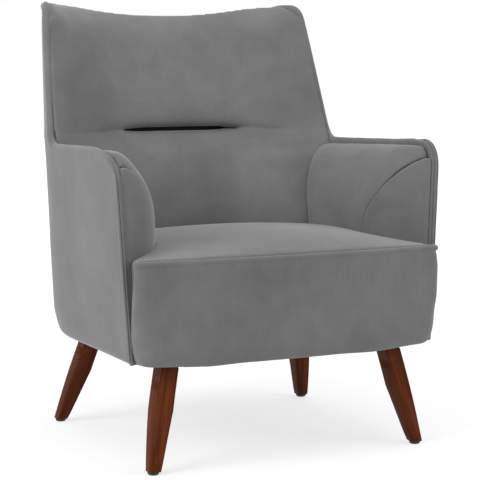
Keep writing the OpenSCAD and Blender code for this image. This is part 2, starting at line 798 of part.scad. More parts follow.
// A rail between the posts, level with their front, leaning with them.
module back_rail(z) {
    color(beech_colour)
        translate([-post_x + fit, post_front(z), z])
            rotate([-atan((post_front(z + back_rail_h) - post_front(z)) / back_rail_h), 0, 0])
                cube([post_gap - 2 * fit, post_w - 4, back_rail_h]);
}
lower_rail_z = seat_height - back_rail_h / 2;
middle_rail_z = seam_height - back_rail_h / 2;
top_rail_over = 5;
top_rail_dip = 8;
top_rail_z = post_high - top_rail_h + top_rail_over;
// The top rail's upper edge follows the dip of the back.
module top_back_rail() {
    color(beech_colour)
        translate([0, post_front(top_rail_z), top_rail_z])
            rotate([90 - atan(back_lean), 0, 0])
                translate([0, 0, -(post_w - 4)])
                    linear_extrude(post_w - 4)
                        polygon(concat(
                            [[post_x - fit, 0], [-post_x + fit, 0]],
                            [for (x = [-1:0.25:1]) [x * (post_x - fit), top_rail_h - top_rail_dip * (1 - x * x)]]
                        ));
}

// Elastic straps across the front of the posts.
strap_w = 50;
strap_heights = [for (t = [0, 0.17, 0.34, 0.52, 0.75, 0.96]) mix(lower_rail_z + 30, post_high - strap_w, t)];
module back_webbing() {
    color(shade_colour) {
        for (z = strap_heights)
            translate([-post_x - post_w, post_front(z) - web_t - fit, z])
                rotate([-atan((post_front(z + strap_w) - post_front(z)) / strap_w), 0, 0])
                    cube([post_gap + 2 * post_w, web_t, strap_w]);
    }
}

// Seat rails.
rail_low = body_bottom + rail_lift;
rail_top = rail_low + rail_h;
front_rail_y = border_back(rail_top) + 0.5 + fit;
rear_rail_y = post_front_y - rail_t - fit;
ply_inside = cover_t + ply_t + 3 * fit;
module front_rail() {
    half = side_point(front_rail_y + rail_t, rail_low, ply_inside)[0];
    color(beech_colour) translate([-half, front_rail_y, rail_low]) cube([2 * half, rail_t, rail_h]);
}
module rear_rail() {
    half = side_point(rear_rail_y + rail_t, rail_low, ply_inside)[0] - 4;
    color(beech_colour) translate([-half, rear_rail_y, rail_low]) cube([2 * half, rail_t, rail_h]);
}
// The side rail's outer face follows the plywood.
side_rail_start = front_rail_y + rail_t + fit;
side_rail_end = rear_rail_y - fit;
side_rail_ys = [for (k = [0:8]) mix(side_rail_start, side_rail_end, k / 8)];
function side_rail_x(y) = side_point(y, rail_low, ply_inside)[0];
module side_rail() {
    color(beech_colour)
        translate([0, 0, rail_low])
            linear_extrude(rail_h)
                polygon(concat(
                    [for (y = side_rail_ys) [side_rail_x(y), y]],
                    [for (k = [8:-1:0]) [side_rail_x(side_rail_ys[k]) - rail_t, side_rail_ys[k]]]
                ));
}

// Legs. Each swells a little on its outer side and tapers on its two inner ones.
leg_top = body_bottom - dust_t - 2 * fit;
front_feet_y = front_y + front_feet_setback;
rear_feet_y = front_feet_y + feet_depth;
front_foot_at = [front_feet_width / 2, front_feet_y];
rear_foot_at = [rear_feet_width / 2, rear_feet_y];
front_top_at = [leg_tops_width / 2, front_feet_y + front_splay];
rear_top_at = [leg_tops_width / 2, rear_feet_y - rear_splay];
leg_heights = [glide_h, 40, 75, 100, taper_height, 150, 180, leg_top];
function leg_size(z) = mix(foot_w, leg_w, pow(min((z - glide_h) / (taper_height - glide_h), 1), 0.85));
function leg_ring(foot, top, out, z) =
    let (
        t = (z - glide_h) / (leg_top - glide_h),
        s = leg_size(z),
        swell = [out[0] * leg_swell * sin(180 * t), 0],
        corner = mix(foot + out * foot_w / 2, top + out * leg_w / 2, t) + swell,
        centre = corner - out * s / 2,
        r = min(leg_ridge_r, s / 2 - 1)
    )
    [
        for (k = [0:3], a = [0:30:90])
            let (turn = 90 * k + a, c = 90 * k + 45)
            [
                centre[0] + (s / 2 - r) * sign(cos(c)) + r * cos(turn),
                centre[1] + (s / 2 - r) * sign(sin(c)) + r * sin(turn),
                z
            ]
    ];
function leg_axis(foot, top) = unit([top[0] - foot[0], top[1] - foot[1], leg_top - glide_h]);
// Places a child along a leg's axis, at distance d above the leg's top.
module along_leg(foot, top, d) {
    axis = leg_axis(foot, top);
    translate([top[0], top[1], leg_top] + axis * d)
        rotate([0, acos(axis[2]), atan2(axis[1], axis[0])])
            children();
}
// A bore round a leg's axis, from distance low to distance high above the leg's top.
bore_sides = 16;
function bore_ring(foot, top, d, r) =
    let (
        axis = leg_axis(foot, top),
        u = unit(cross([0, 1, 0], axis)),
        v = cross(axis, u),
        p = [top[0], top[1], leg_top] + axis * d
    )
    [
        for (k = [0:bore_sides - 1])
            let (a = 360 * k / bore_sides)
            p + r / cos(180 / bore_sides) * (u * cos(a) + v * sin(a))
    ];
module leg_bore(foot, top, low, high, r) {
    loft([bore_ring(foot, top, low, r), bore_ring(foot, top, high, r)]);
}
bolt_in_leg = 42;
module leg(foot, top, out) {
    color(walnut_colour)
        difference() {
            loft([for (z = leg_heights) leg_ring(foot, top, out, z)]);
            leg_bore(foot, top, -bolt_in_leg, 10, bolt_r + fit);
            round_bore(foot, 0, glide_h + nail_h, nail_r + fit / 3);
        }
}
module front_right_leg() {
    leg(front_foot_at, front_top_at, [1, -1]);
}
module rear_right_leg() {
    leg(rear_foot_at, rear_top_at, [1, 1]);
}

// Glides: a domed black pad with a flat foot, held by a nail.
nail_r = 1.2;
nail_h = 16;
function ring(at, r, z, n) = [for (k = [0:n - 1]) [at[0] + r * cos(360 * k / n), at[1] + r * sin(360 * k / n), z]];
module round_bore(at, low, high, r) {
    loft([ring(at, r, low, 12), ring(at, r, high, 12)]);
}
glide_edge = 5;
module glide(at) {
    dome = [for (a = [0:30:90]) [glide_r - glide_edge * (1 - sin(a)), (glide_h - 1) * (1 - cos(a))]];
    color(black_colour)
        difference() {
            loft([for (p = concat(dome, [[glide_r, glide_h - fit]])) ring(at, p[0], p[1], 24)]);
            round_bore(at, 2, glide_h + 2, nail_r + fit);
        }
}
module glide_nails() {
    color(steel_colour)
        for (side = [-1, 1], at = [front_foot_at, rear_foot_at])
            translate([side * at[0], at[1], 2 + fit])
                cylinder(r = nail_r, h = glide_h + nail_h - 3, $fn = 12);
}

// Corner blocks between the rails, bored for the leg bolts, with a seat for each washer.
block_z = body_bottom;
washer_r = 10;
washer_t = 1.6;
nut_h = 6.5;
nut_r = 7.5;
seat_drop = 14;
module block(ys, foot, top) {
    inner_x = top[0] - leg_w - 8;
    color(beech_colour)
        difference() {
            translate([0, 0, block_z])
                linear_extrude(block_h)
                    polygon([
                        [inner_x, ys[0]],
                        [side_rail_x(ys[0]) - rail_t - fit, ys[0]],
                        [side_rail_x(ys[1]) - rail_t - fit - 2, ys[1]],
                        [inner_x, ys[1]]
                    ]);
            leg_bore(foot, top, -20, block_h + 20, bolt_r + 2 * fit);
            leg_bore(foot, top, block_h - seat_drop, block_h + 26, washer_r + 1);
        }
}
module front_right_block() {
    block([side_rail_start, side_rail_start + 2 * leg_w], front_foot_at, front_top_at);
}
module rear_right_block() {
    block([rear_top_at[1] - leg_w, side_rail_end], rear_foot_at, rear_top_at);
}
module each_leg_axis(d) {
    for (side = [0, 1])
        mirror([side, 0, 0]) {
            along_leg(front_foot_at, front_top_at, d) children();
            along_leg(rear_foot_at, rear_top_at, d) children();
        }
}
module leg_bolts() {
    length = bolt_in_leg + block_h - seat_drop + 14;
    color(steel_colour) each_leg_axis(1 - bolt_in_leg) cylinder(r = bolt_r, h = length, $fn = 20);
}
module leg_washers() {
    color(steel_colour)
        each_leg_axis(block_h - seat_drop + fit / 3)
            difference() {
                loft([for (z = [0, washer_t]) ring([0, 0], washer_r, z, 20)]);
                round_bore([0, 0], -1, washer_t + 1, bolt_r * 1.05);
            }
}
module leg_nuts() {
    color(steel_colour)
        each_leg_axis(block_h - seat_drop + washer_t + fit * 2 / 3)
            difference() {
                loft([for (z = [0, nut_h]) ring([0, 0], nut_r, z, 6)]);
                round_bore([0, 0], -1, nut_h + 1, bolt_r * 1.04);
            }
}

// Sinuous springs: one flat zigzag of wire from the front rail to the rear rail.
spring_w = 44;
spring_pitch = 44;
spring_start = front_rail_y + 8;
spring_end = rear_rail_y + rail_t - 8;
spring_turns = floor((spring_end - spring_start - 20) / spring_pitch);
// Centre line of a spring: half turns joined by bars across.
function spring_line(step) =
    let (
        pitch = (spring_end - spring_start - 20) / spring_turns,
        r = pitch / 4
    )
    concat(
        [[0, spring_start]],
        [
            for (i = [0:2 * spring_turns - 1], a = [-90:step:90])
                let (side = i % 2 == 0 ? 1 : -1, c = [side * (spring_w / 2 - r), spring_start + 10 + (i + 0.5) * 2 * r])
                c + r * [side * cos(a), sin(a)]
        ],
        [[0, spring_end]]
    );
module spring() {
    line = spring_line(90);
    n = len(line) - 1;
    left = [for (i = [0:n]) let (t = heading(line, i)) line[i] + wire_t / 2 * [-t[1], t[0]]];
    right = [for (i = [n:-1:0]) let (t = heading(line, i)) line[i] - wire_t / 2 * [-t[1], t[0]]];
    translate([0, 0, rail_top + fit]) linear_extrude(wire_t) polygon(concat(left, right));
}
spring_step = (seat_clear_width - spring_w - 30) / (spring_count - 1);
spring_xs = [for (i = [0:spring_count - 1]) (i - (spring_count - 1) / 2) * spring_step];
module seat_springs() {
    color(steel_colour) for (x = spring_xs) translate([x, 0, 0]) spring();
}
// Clips: a bent strap over each end of each spring, nailed on the rail beside the wire.
module clip() {
    inner = wire_t / 2 + fit;
    for (side = [-1, 1])
        translate([side * (inner + 3) - 3, 0, 0]) cube([6, 6, wire_t]);
}
module spring_clips() {
    color(steel_colour)
        for (x = spring_xs, y = [spring_start + 1, spring_end - 7])
            translate([x, y, rail_top + fit]) clip();
}

// Dust cover under the frame.
module dust_cover() {
    half = side_point(rear_rail_y, rail_low, ply_inside)[0] - 24;
    start = front_rail_y + rail_t / 2;
    front_half = (leg_tops_width + leg_w) / 2 + 10;
    color(shade_colour)
        translate([0, 0, body_bottom - dust_t - fit])
            difference() {
                linear_extrude(dust_t)
                    polygon([
                        [-front_half, start], [front_half, start],
                        [half, rear_rail_y], [-half, rear_rail_y]
                    ]);
                translate([0, 0, fit + dust_t - body_bottom]) {
                    leg_holes();
                    mirror([1, 0, 0]) leg_holes();
                }
            }
}
module leg_holes() {
    leg_bore(front_foot_at, front_top_at, -20, 20, bolt_r + 2);
    leg_bore(rear_foot_at, rear_top_at, -20, 20, bolt_r + 2);
}

module left() {
    mirror([1, 0, 0]) children();
}

left() outer_side();  // left_outer_side
outer_side();  // right_outer_side
left() rim();  // left_rim
rim();  // right_rim
outside_back();
left() arm_pad();  // left_arm_pad
arm_pad();  // right_arm_pad
left() arm_facing();  // left_arm_facing
arm_facing();  // right_arm_facing
seat_cushion();
seat_front_border();
seat_welt();
inside_back_upper();
inside_back_lower();
left() side_frame();  // left_side_frame
side_frame();  // right_side_frame
left() back_post();  // left_back_post
back_post();  // right_back_post
top_back_rail();
back_rail(middle_rail_z);  // middle_back_rail
back_rail(lower_rail_z);  // lower_back_rail
back_webbing();
front_rail();
rear_rail();
left() side_rail();  // left_rail
side_rail();  // right_rail
left() front_right_block();  // front_left_block
front_right_block();
left() rear_right_block();  // rear_left_block
rear_right_block();
seat_springs();
spring_clips();
dust_cover();
left() front_right_leg();  // front_left_leg
front_right_leg();
left() rear_right_leg();  // rear_left_leg
rear_right_leg();
left() glide(front_foot_at);  // front_left_glide
glide(front_foot_at);  // front_right_glide
left() glide(rear_foot_at);  // rear_left_glide
glide(rear_foot_at);  // rear_right_glide
leg_bolts();
leg_washers();
leg_nuts();
glide_nails();
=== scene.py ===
# Accent armchair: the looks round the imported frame. Metres, +Z up, the sitter faces -Y, and left is -X.
import bpy
import bmesh
import math
import time
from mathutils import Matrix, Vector


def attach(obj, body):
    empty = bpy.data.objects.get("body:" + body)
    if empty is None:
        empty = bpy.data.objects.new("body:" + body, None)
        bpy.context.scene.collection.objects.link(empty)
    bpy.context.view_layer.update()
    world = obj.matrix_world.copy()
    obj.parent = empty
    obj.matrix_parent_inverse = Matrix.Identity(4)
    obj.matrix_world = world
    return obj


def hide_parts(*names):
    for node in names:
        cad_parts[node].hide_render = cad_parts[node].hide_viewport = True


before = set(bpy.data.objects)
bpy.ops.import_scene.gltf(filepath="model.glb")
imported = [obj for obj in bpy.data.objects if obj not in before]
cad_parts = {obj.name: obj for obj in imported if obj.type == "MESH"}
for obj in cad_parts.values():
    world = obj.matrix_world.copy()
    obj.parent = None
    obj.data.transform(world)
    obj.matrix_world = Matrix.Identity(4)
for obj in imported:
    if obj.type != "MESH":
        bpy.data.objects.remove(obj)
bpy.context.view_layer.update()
startTime = time.time()


def report(stage):
    print(f"{stage}: {time.time() - startTime:.1f} s")


report("frame loaded")


# Picking and finishing objects, as in the window.
def pick(obj):
    bpy.ops.object.select_all(action="DESELECT")
    obj.select_set(True)
    bpy.context.view_layer.objects.active = obj


def editMesh(obj):
    pick(obj)
    bpy.ops.object.mode_set(mode="EDIT")
    bpy.ops.mesh.select_all(action="SELECT")


def objectMode():
    bpy.ops.object.mode_set(mode="OBJECT")


def applyModifier(obj, kind, **values):
    modifier = obj.modifiers.new(kind.title(), kind)
    for key, value in values.items():
        setattr(modifier, key, value)
    pick(obj)
    bpy.ops.object.modifier_apply(modifier=modifier.name)


# The camera, at the photograph's place. Angles in degrees, lens and sensor in millimetres.
cameraView = {"place": (-1.4944, -3.2047, 0.8189), "turn": 25.67, "down": 6.53,
              "lens": 122.0, "sensor": 36.0}


def addCamera(view):
    turn, down = math.radians(view["turn"]), math.radians(view["down"])
    bpy.ops.object.camera_add(location=view["place"], rotation=(math.pi / 2 - down, 0, -turn))
    camera = bpy.context.object
    camera.name = "photoCamera"
    camera.data.lens = view["lens"]
    camera.data.sensor_width = view["sensor"]
    bpy.context.scene.camera = camera


addCamera(cameraView)


# Parts that the finishes share.
def newMaterial(name):
    material = bpy.data.materials.new(name)
    material.use_nodes = True
    nodes = material.node_tree.nodes
    return material, nodes, material.node_tree.links, nodes["Principled BSDF"]


def noiseNode(nodes, links, source, scale, detail, stretch, roughness=0.5):
    mapping = nodes.new("ShaderNodeMapping")
    mapping.inputs["Scale"].default_value = stretch
    links.new(source, mapping.inputs["Vector"])
    noise = nodes.new("ShaderNodeTexNoise")
    noise.inputs["Scale"].default_value = scale
    noise.inputs["Detail"].default_value = detail
    noise.inputs["Roughness"].default_value = roughness
    links.new(mapping.outputs["Vector"], noise.inputs["Vector"])
    return noise.outputs["Fac"]


# Noise lies mostly between 0.3 and 0.7.
def mapRange(nodes, links, source, low, high, fromLow=0.3, fromHigh=0.7):
    ranged = nodes.new("ShaderNodeMapRange")
    ranged.inputs["From Min"].default_value = fromLow
    ranged.inputs["From Max"].default_value = fromHigh
    ranged.inputs["To Min"].default_value = low
    ranged.inputs["To Max"].default_value = high
    links.new(source, ranged.inputs["Value"])
    return ranged.outputs["Result"]


def multiply(nodes, links, a, b):
    node = nodes.new("ShaderNodeMath")
    node.operation = "MULTIPLY"
    links.new(a, node.inputs[0])
    links.new(b, node.inputs[1])
    return node.outputs[0]


# The colour times the light of the pattern. Sockets 6, 7 and out 2 are the Mix node's colours.
def addTint(nodes, links, shader, colour, light):
    tint = nodes.new("ShaderNodeMix")
    tint.data_type = "RGBA"
    tint.blend_type = "MULTIPLY"
    tint.inputs["Factor"].default_value = 1
    tint.inputs[6].default_value = (*colour, 1)
    links.new(light, tint.inputs[7])
    links.new(tint.outputs[2], shader.inputs["Base Color"])


def addBump(nodes, links, shader, height, strength, distance):
    bump = nodes.new("ShaderNodeBump")
    bump.inputs["Strength"].default_value = strength
    bump.inputs["Distance"].default_value = distance
    links.new(height, bump.inputs["Height"])
    links.new(bump.outputs["Normal"], shader.inputs["Normal"])


# Short-pile velvet: clouds and patches where the pile was brushed, fine streaks along the warp, and the pile.
velvetLook = {
    "colour": (0.171, 0.171, 0.172), "roughness": 0.8, "specular": 0.25,
    "sheen": 0.6, "sheenRoughness": 0.35, "sheenTint": (0.9, 0.9, 0.92), "bump": 0.25, "pileDepth": 0.0004,
    "patterns": {
        "cloud": {"depth": 0.09, "scale": 6, "detail": 2, "roughness": 0.45},
        "patch": {"depth": 0.07, "scale": 22, "detail": 3, "roughness": 0.5},
        "streak": {"depth": 0.035, "scale": 1, "detail": 3, "roughness": 0.6},
        "pile": {"depth": 0.05, "scale": 1100, "detail": 2, "roughness": 0.5},
    },
}


def velvet(name, warp):
    look = velvetLook
    material, nodes, links, shader = newMaterial(name)
    place = nodes.new("ShaderNodeTexCoord").outputs["Object"]
    noises, light = {}, None
    for part, pattern in look["patterns"].items():
        stretch = warp if part == "streak" else (1, 1, 1)
        noises[part] = noiseNode(nodes, links, place, pattern["scale"], pattern["detail"], stretch,
                                 pattern["roughness"])
        ranged = mapRange(nodes, links, noises[part], 1 - pattern["depth"], 1 + pattern["depth"])
        light = multiply(nodes, links, light, ranged) if light else ranged
    addTint(nodes, links, shader, look["colour"], light)
    shader.inputs["Roughness"].default_value = look["roughness"]
    shader.inputs["Specular IOR Level"].default_value = look["specular"]
    shader.inputs["Sheen Weight"].default_value = look["sheen"]
    shader.inputs["Sheen Roughness"].default_value = look["sheenRoughness"]
    shader.inputs["Sheen Tint"].default_value = (*look["sheenTint"], 1)
    addBump(nodes, links, shader, noises["pile"], look["bump"], look["pileDepth"])
    return material


velvetUpright = velvet("velvetUpright", (170, 170, 14))  # the warp runs up
velvetSeat = velvet("velvetSeat", (170, 14, 170))  # and from front to rear

# Stained walnut: broad and fine grain along each leg's own "grain" attribute.
woodLook = {"dark": (0.046, 0.0085, 0.0025), "middle": (0.094, 0.021, 0.006),
            "light": (0.175, 0.045, 0.013), "stops": (0.42, 0.66, 0.92),
            "broad": (60, 60, 3.5), "fine": (420, 420, 9), "fineShare": 0.35,
            "roughness": 0.5, "specular": 0.07, "bump": 0.15, "poreDepth": 0.0004}


def walnut(name):
    look = woodLook
    material, nodes, links, shader = newMaterial(name)
    grain = nodes.new("ShaderNodeAttribute")
    grain.attribute_name = "grain"
    along = grain.outputs["Vector"]
    broad = noiseNode(nodes, links, along, scale=1, detail=4, stretch=look["broad"], roughness=0.55)
    fine = noiseNode(nodes, links, along, scale=1, detail=3, stretch=look["fine"], roughness=0.6)
    both = nodes.new("ShaderNodeMath")
    both.operation = "MULTIPLY_ADD"
    links.new(fine, both.inputs[0])
    both.inputs[1].default_value = look["fineShare"]
    links.new(broad, both.inputs[2])
    ramp = nodes.new("ShaderNodeValToRGB")
    first, last = ramp.color_ramp.elements
    first.position, first.color = look["stops"][0], (*look["dark"], 1)
    last.position, last.color = look["stops"][2], (*look["light"], 1)
    ramp.color_ramp.elements.new(look["stops"][1]).color = (*look["middle"], 1)
    links.new(both.outputs[0], ramp.inputs["Fac"])
    links.new(ramp.outputs["Color"], shader.inputs["Base Color"])
    shader.inputs["Roughness"].default_value = look["roughness"]
    shader.inputs["Specular IOR Level"].default_value = look["specular"]
    addBump(nodes, links, shader, fine, look["bump"], look["poreDepth"])
    return material


walnutStain = walnut("walnutStain")


# Finishes of the hidden frame, its hardware and the glides.
def plainFinish(name, colour, roughness, scale, depth, stretch=(1, 1, 1), metal=0.0):
    material, nodes, links, shader = newMaterial(name)
    place = nodes.new("ShaderNodeTexCoord").outputs["Object"]
    grain = noiseNode(nodes, links, place, scale, detail=4, stretch=stretch)
    addTint(nodes, links, shader, colour, mapRange(nodes, links, grain, 1 - depth, 1 + depth))
    shader.inputs["Roughness"].default_value = roughness
    shader.inputs["Metallic"].default_value = metal
    addBump(nodes, links, shader, grain, strength=0.2, distance=0.0005)
    return material


beech = plainFinish("beech", (0.55, 0.38, 0.2), roughness=0.6, scale=40, depth=0.18, stretch=(1, 12, 1))
plywood = plainFinish("plywood", (0.5, 0.33, 0.17), roughness=0.6, scale=30, depth=0.22, stretch=(1, 1, 8))
springSteel = plainFinish("springSteel", (0.5, 0.5, 0.52), roughness=0.35, scale=300, depth=0.08, metal=1.0)
lining = plainFinish("lining", (0.02, 0.02, 0.022), roughness=0.85, scale=700, depth=0.35)
blackPlastic = plainFinish("blackPlastic", (0.012, 0.012, 0.012), roughness=0.4, scale=500, depth=0.2)
report("finishes made")

# How a soft node's copy is merged, made of quads again and rounded. Angles in degrees.
nodeCopy = {"merge": 0.00005, "flat": 100, "square": 150, "seam": 50, "levels": 3, "sharpest": 10,
            "joinGrow": 0.001}


def copyNode(node, pieceName):
    obj = bpy.data.objects.new(pieceName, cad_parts[node].data.copy())
    obj.data.name = pieceName
    bpy.context.scene.collection.objects.link(obj)
    pick(obj)
    if obj.data.has_custom_normals:
        bpy.ops.mesh.customdata_custom_splitnormals_clear()
    editMesh(obj)
    bpy.ops.mesh.remove_doubles(threshold=nodeCopy["merge"])
    bpy.ops.mesh.tris_convert_to_quads(face_threshold=math.radians(nodeCopy["flat"]),
                                       shape_threshold=math.radians(nodeCopy["square"]),
                                       topology_influence=1.0)
    bpy.ops.mesh.normals_make_consistent(inside=False)
    objectMode()
    return obj


# Creases on the edges of the cut panels, sharper beside wide faces, so that each is rounded to the same radius.
def creaseSeams(obj, radius):
    seam = math.radians(nodeCopy["seam"])
    bm = bmesh.new()
    bm.from_mesh(obj.data)
    crease = bm.edges.layers.float.get("crease_edge") or bm.edges.layers.float.new("crease_edge")
    for edge in bm.edges:
        if len(edge.link_faces) == 2 and edge.calc_face_angle() > seam:
            beside = [e.calc_length() for v in edge.verts for e in v.link_edges
                      if e is not edge and not (e.calc_face_angle(0) > seam)]
            width = max(sum(beside) / len(beside) if beside else radius, radius)
            edge[crease] = min(math.sqrt(math.log2(width / radius) / nodeCopy["sharpest"]), 1)
    bm.to_mesh(obj.data)
    bm.free()


def roundedCopy(node, pieceName, radius):
    obj = copyNode(node, pieceName)
    creaseSeams(obj, radius)
    applyModifier(obj, "SUBSURF", levels=nodeCopy["levels"], render_levels=nodeCopy["levels"])
    return obj


# Joins a second node's copy into a piece, swollen by a little so that the two meet.
def joinNode(obj, node, radius):
    other = roundedCopy(node, node + "Copy", radius)
    applyModifier(other, "DISPLACE", strength=nodeCopy["joinGrow"], mid_level=0)
    pick(other)
    obj.select_set(True)
    bpy.context.view_layer.objects.active = obj
    bpy.ops.object.join()


# How far a value is on its way between two others, from 0 to 1: straight, and eased at both ends.
def portion(value, low, high):
    return min(max((value - low) / (high - low), 0), 1)


def smoothStep(value, low, high):
    t = portion(value, low, high)
    return t * t * (3 - 2 * t)


# How far a rounded edge of a radius has drawn in, at a height below its end.
def drawIn(height, radius):
    return 0 if height >= radius else radius - math.sqrt(radius ** 2 - (radius - max(height, 0)) ** 2)


def sideOf(p):
    return math.copysign(1, p.x)


def moveVertices(obj, moved):
    for vertex in obj.data.vertices:
        vertex.co = moved(vertex.co)


# The lower back is fuller than the solids: the covers' rear corners stand out and back below the arm's top.
rearFull = {"out": 0.0085, "back": 0.010, "high": (0.40, 0.66), "foot": (0.19, 0.27), "rear": (-0.05, 0.24),
            "corner": (0.12, 0.25)}


def fullRear(p):
    rear = rearFull
    below = 1 - portion(p.z, *rear["high"])
    full = below * (1.5 - 0.5 * below)  # bowed a little above a straight line
    full *= smoothStep(p.z, *rear["foot"]) * smoothStep(p.y, *rear["rear"])
    out = rear["out"] * full * smoothStep(abs(p.x), *rear["corner"])
    return Vector((p.x + sideOf(p) * out, p.y + rear["back"] * full, p.z))


# The back's top edge between the wings is a little higher than the solids'.
topEdge = {"rise": 0.0035, "high": (0.85, 0.9), "middle": (0.2, 0.3)}


def raiseTop(p):
    raised = topEdge["rise"] * smoothStep(p.z, *topEdge["high"])
    raised *= 1 - smoothStep(abs(p.x), *topEdge["middle"])
    return Vector((p.x, p.y, p.z + raised))


def shapeRear(obj):
    moveVertices(obj, lambda p: raiseTop(fullRear(p)))


# The outer side's top rear corner is fuller than the solid's, so that it closes against the roll.
wingCorner = {"rise": 0.009, "rear": (0.275, 0.3), "high": (0.885, 0.905), "far": (0.305, 0.32)}


def fillCorner(obj):
    def moved(p):
        corner = smoothStep(p.y, *wingCorner["rear"]) * smoothStep(p.z, *wingCorner["high"])
        corner *= 1 - smoothStep(abs(p.x), *wingCorner["far"])
        return Vector((p.x, p.y, p.z + wingCorner["rise"] * corner))
    moveVertices(obj, moved)


# The arm's outline from the side, with a round corner, and its outer face's distance from the middle.
armShape = {"foot": -0.318, "lean": 0.012, "low": 0.217, "arm": 0.639, "corner": 0.06,
            "outer": 0.3288, "flare": 0.0575}
cornerHeight = armShape["arm"] - armShape["corner"]


def frontLine(z):
    return armShape["foot"] + armShape["lean"] * (z - armShape["low"]) / (armShape["arm"] - armShape["low"])


def outerFace(z):
    return armShape["outer"] + armShape["flare"] * z


# How deep a point lies inside the arm's outline, and the way in.
def insideArm(p):
    front = frontLine(min(p.z, cornerHeight))
    middle = front + armShape["corner"]
    if p.z <= cornerHeight:
        return p.y - front, Vector((0, 1, 0))
    if p.y >= middle:
        return armShape["arm"] - p.z, Vector((0, 0, -1))
    toMiddle = Vector((0, middle - p.y, cornerHeight - p.z))
    return armShape["corner"] - toMiddle.length, toMiddle.normalized()


# The arm's front lies behind the solid's roll: a rounded outer edge, a flat face for the cord, and a step to
# the facing. Its top corner is lowered or raised and its side has some slack, as each arm has in the photograph:
# -1 is the left arm, and 1 the right one. Low down, a flange reaches inwards and closes it against the seat.
armFront = {"face": {-1: 0.0075, 1: 0.0025}, "edge": 0.005, "step": 0.0043, "stepAcross": (0.0022, 0.0042),
            "fade": (-0.25, -0.17), "rearFrom": -0.12,
            "drop": {-1: 0.009, 1: -0.003}, "dropFront": (0.14, 0.26), "dropHigh": (0.55, 0.62),
            "slack": {-1: 0, 1: 0.003}, "slackFront": (-0.2, -0.12),
            "flange": 0.0145, "flangeAcross": (0.0085, 0.0115), "flangeDeep": (-0.292, -0.288),
            "flangeHigh": (0.37, 0.4)}


def dropCorner(p):
    lower = armFront["drop"][sideOf(p)] * smoothStep(-p.y, *armFront["dropFront"])
    return Vector((p.x, p.y, p.z - lower * smoothStep(p.z, *armFront["dropHigh"])))


def slack(p):
    return armFront["slack"][sideOf(p)] * (1 - smoothStep(p.y, *armFront["slackFront"]))


def shapeArmFront(obj):
    front = armFront

    def moved(p):
        if p.y > front["rearFrom"]:
            return fullRear(p)
        across = outerFace(p.z) - abs(p.x)
        depth, inward = insideArm(p)
        wanted = front["face"][sideOf(p)] + front["step"] * smoothStep(across, *front["stepAcross"])
        wanted += drawIn(across, front["edge"])
        wanted *= 1 - smoothStep(p.y, *front["fade"])
        q = dropCorner(p + inward * max(wanted - depth, 0))
        flange = smoothStep(across, *front["flangeAcross"]) * (1 - smoothStep(p.y, *front["flangeDeep"]))
        flange *= 1 - smoothStep(p.z, *front["flangeHigh"])
        q.x -= sideOf(p) * front["flange"] * flange
        q.x += slack(p)
        return q
    moveVertices(obj, moved)


# A thin cord sewn along the arm's front. Its nub at the foot is pairs of a height and a share of the radius.
armCord = {"radius": 0.0027, "across": 0.0064, "depth": 0.0027, "rings": 4,
           "nub": ((0.2160, 0.15), (0.2165, 1.0), (0.2178, 1.6), (0.2200, 2.0), (0.2225, 1.8),
                   (0.2250, 1.2), (0.228, 1.0)),
           "start": 0.24, "spacing": 0.0305, "points": 12, "turns": 12}


def makeArmCord(name, side):
    cord = armCord
    depth = armFront["face"][side] + cord["depth"]
    heights = list(cord["nub"])
    heights += [(cord["start"] + cord["spacing"] * k, 1.0) for k in range(cord["points"])]
    points = [(z, frontLine(z) + depth, size) for z, size in heights]
    middle = frontLine(cornerHeight) + armShape["corner"]
    radius = armShape["corner"] - depth
    for k in range(cord["turns"] + 1):
        angle = math.pi / 2 * k / cord["turns"]
        points.append((cornerHeight + radius * math.sin(angle), middle - radius * math.cos(angle), 1.0))
    curve = bpy.data.curves.new(name, "CURVE")
    curve.dimensions = "3D"
    curve.bevel_depth = cord["radius"]
    curve.bevel_resolution = cord["rings"]
    curve.use_fill_caps = True
    spline = curve.splines.new("POLY")
    spline.points.add(len(points) - 1)
    for point, (z, y, size) in zip(spline.points, points):
        on = dropCorner(Vector((side * (outerFace(z) - cord["across"]), y, z)))
        point.co = (on.x + slack(on), on.y, on.z, 1)
        point.radius = size
    obj = bpy.data.objects.new(name, curve)
    bpy.context.scene.collection.objects.link(obj)
    pick(obj)
    bpy.ops.object.convert(target="MESH")
    obj.data.name = name
    editMesh(obj)
    bpy.ops.mesh.normals_make_consistent(inside=False)
    objectMode()
    bpy.ops.object.shade_smooth()
    obj.data.materials.append(velvetUpright)
    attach(obj, "root")


# The arm pad's front rises to the cord, and its corner follows the arm's. The solid's is 0.8 as round.
padFront = {"setback": 0.018, "round": 0.111, "roll": 0.009, "solidRound": 0.8,
            "rise": {-1: 0.0055, 1: 0.0005}, "riseHigh": (0.585, 0.622), "riseFront": (-0.2, -0.05)}


def shapePadFront(obj):
    pad, arm, corner = padFront, armShape["arm"], armShape["corner"]
    rounded = armShape["foot"] + pad["setback"] + pad["round"]
    start = armShape["foot"] + armShape["lean"] + pad["setback"]

    def moved(p):
        q = p.copy()
        if p.y < rounded and p.z > cornerHeight:
            was = start + pad["solidRound"] * drawIn(arm - p.z, corner)
            now = start + drawIn(arm - pad["roll"] - p.z, corner - pad["roll"])
            q.y = rounded - (rounded - p.y) * (rounded - now) / (rounded - was)
        rise = smoothStep(p.z, *pad["riseHigh"]) * (1 - smoothStep(p.y, *pad["riseFront"]))
        q.z += pad["rise"][sideOf(p)] * rise
        return q
    moveVertices(obj, moved)


# The facing's outer part comes forward to the arm's front.
facingFront = {"forward": 0.0172, "far": (0.25, 0.31)}


def shapeFacing(obj):
    def moved(p):
        forward = facingFront["forward"] - armFront["face"][sideOf(p)] - armFront["step"]
        return Vector((p.x, p.y - forward * smoothStep(abs(p.x), *facingFront["far"]), p.z))
    moveVertices(obj, moved)


